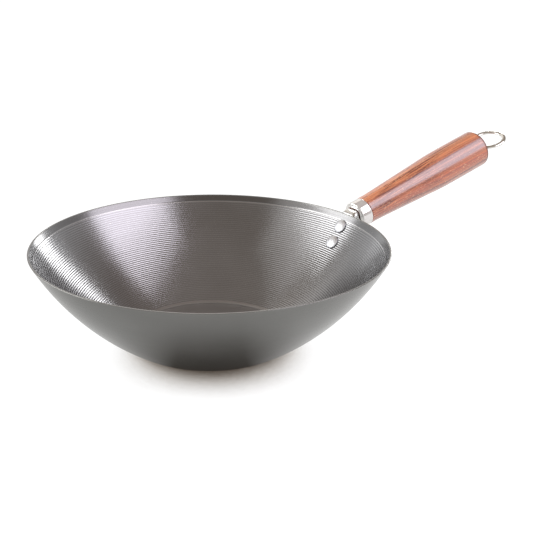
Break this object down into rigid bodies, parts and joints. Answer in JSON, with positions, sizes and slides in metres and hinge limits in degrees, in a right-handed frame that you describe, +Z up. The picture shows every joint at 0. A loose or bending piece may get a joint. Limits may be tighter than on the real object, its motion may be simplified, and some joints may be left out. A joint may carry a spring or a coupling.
{
  "type": "wok",
  "caption": "Spun steel wok with a flat base, sloping curved wall and one riveted wooden handle with a chromed ferrule and a swinging hanging ring.",
  "frame": {"origin": "centre of the flat base's underside", "axes": "+Z up out of the bowl, +X out over the rim along the handle, +Y to the left of the handle seen from the bowl"},
  "size_m": [0.4995, 0.2996, 0.1421],
  "materials": {
    "bowl_steel": "dark carbon steel with a satin spun surface",
    "bracket_steel": "bright pressed steel",
    "rivet_metal": "satin aluminium",
    "ferrule_chrome": "polished chrome",
    "handle_wood": "varnished red-brown hardwood",
    "rod_steel": "plated steel",
    "ring_chrome": "polished chrome"
  },
  "bodies": {
    "wok": {"wok_bowl": "bowl_steel", "handle_bracket": "bracket_steel", "rivet_upper": "rivet_metal", "rivet_lower": "rivet_metal", "ferrule": "ferrule_chrome", "wooden_handle": "handle_wood", "anchor_nut": "rod_steel", "eye_rod": "rod_steel", "rod_washer": "rod_steel"},
    "ring": {"hanging_ring": "ring_chrome"}
  },
  "joints": [
    {"name": "ring_swing", "type": "hinge", "parent": "wok", "child": "ring", "pos_m": [0.31986, 0, 0.1266], "axis": [-0.024, 0.9962, 0.0838], "range_deg": [-90, 97]}
  ]
}
